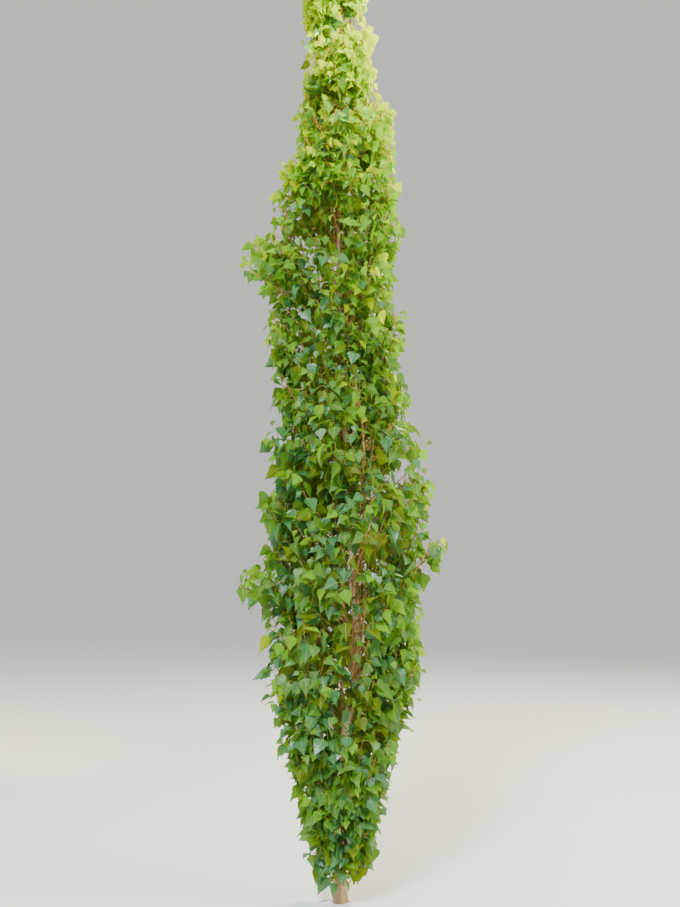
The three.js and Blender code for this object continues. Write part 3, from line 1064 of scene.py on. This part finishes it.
def young_finish(name, colour, shine):
    """Leaf stalks and ribs: one plain colour with a fine skin."""
    finish = Finish(name)
    skin = finish.cloud(finish.place(), YOUNG_SKIN_SCALE, SKIN_DETAIL)
    rough = shine + SKIN_ROUGHNESS * skin
    return finish.surface(finish.opaque(colour, rough, finish.relief(skin, YOUNG_DEPTH), YOUNG_GLOSS))


# The trunk's bark: birch tans set far paler than real bark, partly painted light that stands in for light on
# the trunk in the shade of the leaves.
TRUNK_BARK = ((0.98, 0.80, 0.50, 1), (0.90, 0.62, 0.31, 1), (0.44, 0.24, 0.09, 1))
TRUNK_CHANGES = [
    (0.42, 0.12, 0.7, (0.26, 0.11, 0.05, 1)),
    (1.15, 1.9, 0.92, (0.13, 0.065, 0.028, 1)),
]
BOUGH_BARK = ((0.60, 0.33, 0.13, 1), (0.43, 0.225, 0.08, 1), (0.16, 0.072, 0.03, 1))
TWIG_BARK = ((0.54, 0.26, 0.075, 1), (0.36, 0.18, 0.05, 1), (0.14, 0.06, 0.025, 1))
# Leaf tones. The sunlit tone's bright yellow-green is painted sunlight. The cool tone is a real leaf green
# whose bluish tint is a painted sky reflection. The deep tone's dark olive is painted shade.
LEAF_TONES = table(
    "colour glow shine gloss through",
    ((0.37, 0.50, 0.0005, 1), (0.64, 0.80, 0.0005, 1), 0.50, 0.04, 0.60),
    ((0.155, 0.36, 0.016, 1), (0.40, 0.70, 0.012, 1), 0.40, 0.22, 0.42),
    ((0.076, 0.195, 0.016, 1), (0.26, 0.48, 0.012, 1), 0.32, 0.50, 0.36),
    ((0.050, 0.175, 0.052, 1), (0.16, 0.40, 0.035, 1), 0.26, 0.62, 0.20),
    ((0.112, 0.165, 0.004, 1), (0.33, 0.44, 0.005, 1), 0.40, 0.20, 0.38),
)
RIB_COLOUR = (0.30, 0.44, 0.09, 1)
STALK_COLOUR = (0.42, 0.42, 0.06, 1)

trunk_bark = bark_finish("trunk bark", TRUNK_BARK, mark_scale=60.0, shine=0.58, changes=TRUNK_CHANGES)
bough_bark = bark_finish("bough bark", BOUGH_BARK, mark_scale=150.0, shine=0.45)
twig_bark = bark_finish("twig bark", TWIG_BARK, mark_scale=240.0, shine=0.42)
stalk_green = young_finish("leaf stalk", STALK_COLOUR, shine=0.4)
rib_green = young_finish("leaf rib", RIB_COLOUR, shine=0.4)
leaf_greens = [leaf_finish(f"{tone} leaf", **looks) for tone, looks in zip(TONES, LEAF_TONES)]


# Meshes of the wood: rings along it, sides round it, and how far its relief stands out
TRUNK_RINGS = 720
TRUNK_SIDES = 48
BOUGH_SKIN = {"rings": 46, "sides": 16, "seed": 0, "relief": 0.0004}
STEM_SKIN = {"rings": 54, "sides": 10, "seed": 1, "relief": 0.0003}
SPRAY_SIDES = 4
SIDE_TWIG_SIDES = 3
WOOD_FROM = 0.02
WOOD_END = {"from": 0.97, "radius": 0.6}

# Relief of the bark: how far it stands out, and how often it comes round the wood and along it
TRUNK_LAYERS = table(
    "size round along shift", (0.0011, 0.8, 5, 0), (0.00045, 1.6, 70, 0), (0.00035, 5, 24, 9),
)
TRUNK_MARKS = {"size": 0.0004, "round": 2.6, "along": 230, "shift": 31, "above": 0.28, "span": 0.5}
THIN_RELIEF = 0.25
COLLAR = {"above": 0.012, "ends": 0.07, "size": 0.55, "tall": 0.022, "wide": 0.75}
WOOD_SWELL = 22
WOOD_MARKS = {"size": 1.2, "round": 1.7, "along": 260, "above": 0.25}
WOOD_SEED = 3.1


def cloud_at(x, y, z):
    return noise.noise(Vector((x, y, z)))


def trunk_cloud(layer, x, y, z):
    return cloud_at(x * layer["round"], y * layer["round"], z * layer["along"] + layer["shift"])


def trunk_relief(z, angle):
    """How far the bark stands out at a height and an angle, in metres."""
    thick = float(trunk_radius(z)) / TRUNK_RADIUS
    x = math.cos(angle)
    y = math.sin(angle)
    out = sum(layer["size"] * trunk_cloud(layer, x, y, z) for layer in TRUNK_LAYERS)
    mark = max(0.0, trunk_cloud(TRUNK_MARKS, x, y, z) - TRUNK_MARKS["above"])
    out += TRUNK_MARKS["size"] * mark / TRUNK_MARKS["span"]
    return out * (THIN_RELIEF + (1 - THIN_RELIEF) * thick)


def collar_at(z, angle):
    """The swelling where a limb leaves the trunk."""
    size = 0.0
    for limb in limbs:
        up = z - limb.foot - COLLAR["above"]
        if abs(up) > COLLAR["ends"]:
            continue
        away = math.atan2(math.sin(angle - limb.turn), math.cos(angle - limb.turn))
        fade = math.exp(-((up / COLLAR["tall"]) ** 2) - (away / COLLAR["wide"]) ** 2)
        size += limb.radius * COLLAR["size"] * fade
    return size


def make_trunk():
    heights = TRUNK_HEIGHT * np.linspace(0, 1, TRUNK_RINGS)
    angles = angles_round(TRUNK_SIDES)
    out = over_skin(heights, angles, trunk_relief) + over_skin(heights, angles, collar_at)
    out += trunk_radius(heights)[:, None] + flare_at(heights[:, None], angles[None])
    centres = trunk_centre(heights)
    skin = centres[:, None] + direction(angles, 0 * angles) * out[..., None]
    surface = Surface()
    add_skin(surface, skin, centres[0], centres[-1], heights)
    return surface.piece("trunk_bark", [trunk_bark], ["trunk"])


def wood_relief(seed, size):
    """Relief for a bough or a stem: slight swellings and raised marks across it."""
    def relief(length, angle):
        x = math.cos(angle)
        y = math.sin(angle)
        swell = cloud_at(x + seed, y, length * WOOD_SWELL)
        often = WOOD_MARKS["round"]
        mark = cloud_at(x * often, y * often + seed, length * WOOD_MARKS["along"])
        return size * (swell + WOOD_MARKS["size"] * max(0.0, mark - WOOD_MARKS["above"]))
    return relief


def add_wood(surface, limb, first, last, skin):
    """One part of a limb as a tube. The limb's own end is thinner."""
    shares = np.linspace(first, last, skin["rings"])
    radii = limb.radius_at(shares) * np.where(shares > WOOD_END["from"], WOOD_END["radius"], 1.0)
    relief = wood_relief(limb.number * WOOD_SEED + skin["seed"], skin["relief"])
    add_tube(surface, limb.at(shares), radii, skin["sides"], relief)


def make_boughs():
    surface = Surface()
    grown = [limb for limb in limbs if limb.has_bough]
    for limb in grown:
        add_wood(surface, limb, WOOD_FROM, limb.start, BOUGH_SKIN)
    names = [f"bough_{limb.number + 1:02d}" for limb in grown]
    return surface.piece("boughs", [bough_bark], names)


def make_wood(masses):
    stems = Surface()
    twigs = Surface()
    for mass in masses:
        add_wood(stems, mass.limb, max(WOOD_FROM, mass.limb.start), 1, STEM_SKIN)
        for twig in mass.twigs:
            sides = SPRAY_SIDES if twig.leafy_from == SPRAY_LEAFY_FROM else SIDE_TWIG_SIDES
            add_tube(twigs, twig.points, twig.radii, sides)
    stems.piece("stems", [bough_bark])
    twigs.piece("twigs", [twig_bark])


def leaf_half_width(t, widest):
    """The half width at a share of the length: 1 at its widest, round behind and pointed ahead."""
    if t < widest:
        return math.sqrt(1 - (1 - t / widest) ** LEAF_BASE_ROUNDING)
    ahead = min(1, (t - widest) / (1 - widest))
    return (1 - ahead) ** LEAF_TIP_SHARPNESS * (1 + LEAF_TIP_LENGTH * ahead)


def leaf_form(number):
    """A leaf of length 1 as (across, along, up) points, with its own fold, curl and wave."""
    draws = [chance(number, 3, use) for use in range(len(LEAF_RANGES))]
    draws[1] **= FLAT_LEAVES
    fold, curl, wave, phase, skew, breadth, widest = map(between, LEAF_RANGES.values(), draws)
    wide = LEAF_WIDTH * breadth
    points = []
    places = []
    for row, t in enumerate(np.linspace(0, LEAF_LAST_ROW, LEAF_ROWS + 1)):
        on_vein = row % 2 == 0
        for side, outer in ((-1, True), (-1, False), (1, False), (1, True)):
            at = t
            x = MIDRIB / 2 * (1 - MIDRIB_TAPER * t)
            up = 0.0
            if outer:
                slanted = t + VEIN_SLANT * (1 - t)
                at = slanted + (TOOTH * TOOTH_AHEAD if on_vein else -TOOTH * NOTCH_BACK)
                tooth = TOOTH * (0.5 if on_vein else -0.5) * (1 - TOOTH_SHRINKING * t)
                x = leaf_half_width(slanted, widest) * wide / 2 + tooth
                up = PLEAT * (-1 if on_vein else 1)
            share = x / (wide / 2)
            up += fold * x * (1 - FOLD_EASING * share) - curl * at**2
            up += wave * share * math.sin(phase + at * WAVES + side)
            points.append((side * x + skew * at**2, at, up))
            places.append((side * share, at))
    points.append((skew, 1.0, -curl))
    places.append((0.0, 1.0))
    return np.array(points), np.array(places)


def leaf_faces():
    """The quads of a leaf, its tip's triangles, and which of the quads are midrib."""
    across = np.arange(LEAF_COLUMNS)
    points = LEAF_COLUMNS + 1
    here = np.arange(LEAF_ROWS)[:, None] * points + across
    quads = np.stack([here, here + 1, here + points + 1, here + points], axis=-1)
    last = LEAF_ROWS * points + across
    tips = np.stack([last, last + 1, np.full(LEAF_COLUMNS, (LEAF_ROWS + 1) * points)], axis=-1)
    return quads.reshape(-1, 4), tips, np.tile(across == 1, LEAF_ROWS)


def gathered(leaves, parts):
    """An array for each named part, with that part of every leaf."""
    return [np.array([getattr(leaf, part) for leaf in leaves]) for part in parts.split()]


def add_leaves(surface, leaves, forms):
    """Every leaf as a copy of its form, turned and sized to its place."""
    quads, tips, is_rib = leaf_faces()
    for number, (points, places) in enumerate(forms):
        chosen = [leaf for leaf in leaves if leaf.form == number]
        if not chosen:
            continue
        size, base, tone, *axes = gathered(chosen, "length base tone side ahead face")
        turned = np.einsum("vk,nkj->nvj", points, np.stack(axes, axis=1))
        vertices = base[:, None] + size[:, None, None] * turned
        shift = np.arange(len(chosen))[:, None, None] * len(points)
        quad_tones = np.where(is_rib[None], len(TONES), tone[:, None]).ravel()
        tip_tones = np.repeat(tone, len(tips))
        surface.add(
            vertices.reshape(-1, 3),
            ((quads[None] + shift).reshape(-1, 4), quad_tones, np.tile(places[quads], (len(chosen), 1, 1))),
            ((tips[None] + shift).reshape(-1, 3), tip_tones, np.tile(places[tips], (len(chosen), 1, 1))),
        )


def add_stalks(surface, leaves):
    """Every leaf's stalk, which sets off from the twig and bends down into the midrib."""
    root, base, ahead, set_off, face = gathered(leaves, "root base ahead set_off face")
    span = np.linalg.norm(base - root, axis=1, keepdims=True)
    out, down = STALK_BEND
    stations = [root, root + set_off * span * out, base - ahead * span * down, base + ahead * STALK_IN_RIB]
    share = np.linspace(0, 1, STALK_RINGS)[None, :, None]
    weights = [(1 - share) ** 3, 3 * share * (1 - share) ** 2, 3 * share**2 * (1 - share), share**3]
    line = sum(w * s[:, None] for w, s in zip(weights, stations))
    along = unit(np.gradient(line, axis=1))
    across = unit_across(along, face[:, None])
    deep = np.cross(along, across)
    radii = np.linspace(*STALK_RADIUS, STALK_RINGS)[None, :, None, None]
    ring = ring_round(across, deep, angles_round(STALK_SIDES))
    skin = (line[:, :, None] + ring * radii).reshape(len(leaves), -1, 3)
    shift = np.arange(len(leaves))[:, None, None] * skin.shape[1]
    quads = (grid_faces(STALK_RINGS, STALK_SIDES)[None] + shift).reshape(-1, 4)
    surface.add(skin.reshape(-1, 3), (quads, 0, np.zeros((len(quads), 4, 2))))


def make_leaves(masses):
    forms = [leaf_form(number) for number in range(LEAF_FORMS)]
    stalks = Surface()
    for name, members in LEAF_GROUPS.items():
        surface = Surface()
        leaves = [leaf for number in members for leaf in masses[number].leaves]
        add_leaves(surface, leaves, forms)
        add_stalks(stalks, leaves)
        nodes = [f"foliage_{number + 1:02d}" for number in members]
        surface.piece(name, [*leaf_greens, rib_green], nodes)
    stalks.piece("leaf_stalks", [stalk_green])


# The pale floor, the even sky, the faint high daylight and the soft lamps
FLOOR_HALF = 40.0
FLOOR_TOP = -0.0005
FLOOR_FINISH = {"Base Color": (0.82, 0.83, 0.84, 1), "Roughness": 0.9}
SKY_COLOUR = (0.93, 0.93, 0.90, 1)
SKY_STRENGTH = 0.74
DAYLIGHT = {"strength": 0.4, "softness": 60, "tilt": (25, -20)}
LAMPS = table(
    "name place target size watts colour spread",
    ("sky", (-1.5, -5.7, 6.2), (0, 0, 1.2), 1.6, 920, (0.80, 0.91, 1.0), 180),
    ("top", (1.9, -1.9, 4.9), (0, 0, 3.4), 0.35, 40, (1.0, 0.93, 0.28), 34),
    ("back", (3.2, 4.6, 6.5), (0, 0, 2.0), 1.6, 950, (1.0, 0.93, 0.60), 180),
    ("side", (4.4, -1.6, 2.2), (0, 0, 1.2), 1.6, 170, (1.0, 0.97, 0.76), 180),
)


def make_stage():
    """A wide pale floor under a pale sky of even light."""
    mesh = bpy.data.meshes.new("floor")
    ends = [(-1, -1), (1, -1), (1, 1), (-1, 1)]
    corners = [(x * FLOOR_HALF, y * FLOOR_HALF, FLOOR_TOP) for x, y in ends]
    mesh.from_pydata(corners, [], [(0, 1, 2, 3)])
    floor = shown("floor", mesh)
    finish = Finish("pale floor")
    mesh.materials.append(finish.surface(finish.add("ShaderNodeBsdfPrincipled", {}, FLOOR_FINISH)))
    world = bpy.data.worlds.new("studio")
    bpy.context.scene.world = world
    world.use_nodes = True
    background = world.node_tree.nodes["Background"]
    background.inputs["Color"].default_value = SKY_COLOUR
    background.inputs["Strength"].default_value = SKY_STRENGTH


def make_daylight():
    """Faint, very soft light from high up, even over the whole floor."""
    light = bpy.data.lights.new("daylight", "SUN")
    light.energy = DAYLIGHT["strength"]
    light.angle = math.radians(DAYLIGHT["softness"])
    across, along = DAYLIGHT["tilt"]
    shown("daylight", light).rotation_euler = (math.radians(across), math.radians(along), 0)


def make_lamps():
    for lamp in LAMPS:
        light = bpy.data.lights.new(lamp["name"], "AREA")
        light.spread = math.radians(lamp["spread"])
        light.size = lamp["size"]
        light.energy = lamp["watts"]
        light.color = lamp["colour"]
        stand = shown(lamp["name"], light)
        stand.location = lamp["place"]
        way = Vector(lamp["target"]) - Vector(lamp["place"])
        stand.rotation_euler = way.to_track_quat("-Z", "Y").to_euler()


def make_camera():
    camera = bpy.data.cameras.new("camera")
    camera.sensor_width = SENSOR
    camera.lens = FOCAL_PIXELS / FRAME_HEIGHT * SENSOR
    camera.clip_end = CAMERA_SEES
    viewer = shown("camera", camera)
    viewer.location = (0, -CAMERA_DISTANCE, CAMERA_HEIGHT)
    viewer.rotation_euler = (math.radians(90 + CAMERA_TILT), 0, 0)
    bpy.context.scene.camera = viewer


make_camera()
make_stage()
make_daylight()
make_lamps()
make_trunk()
make_boughs()
masses = [Mass(limb) for limb in limbs]
make_wood(masses)
make_leaves(masses)
